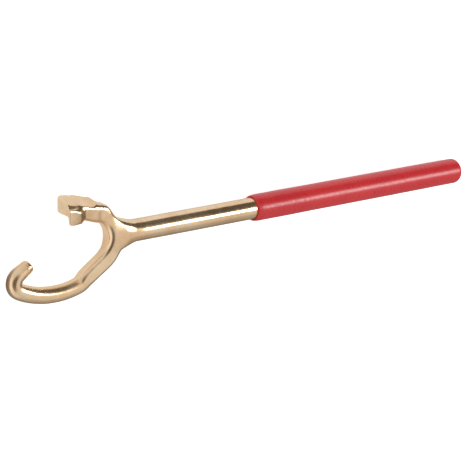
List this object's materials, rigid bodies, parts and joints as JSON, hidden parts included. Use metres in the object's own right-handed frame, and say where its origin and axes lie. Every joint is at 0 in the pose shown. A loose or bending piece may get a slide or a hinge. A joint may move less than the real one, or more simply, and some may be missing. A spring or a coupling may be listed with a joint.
{
  "type": "fire hydrant wrench",
  "caption": "Forged bronze hydrant and hose coupling wrench with an open C head, a drive lug, a long round hook and a red sleeve on its round handle.",
  "frame": {"origin": "under the middle of the wrench, on the plane that its sleeve lies on", "axes": "+X along the handle from the head to the closed end of the sleeve, +Y towards the jaw side of the head, +Z the side of the head that the drive lug stands out of"},
  "size_m": [0.4635, 0.0834, 0.0237],
  "materials": {
    "bronze": "forged, tumbled and lightly polished",
    "sleeve": "dip-moulded, smooth, semi-gloss"
  },
  "bodies": {
    "root": {"forged_wrench": "bronze", "grip_sleeve": "sleeve"}
  },
  "joints": []
}
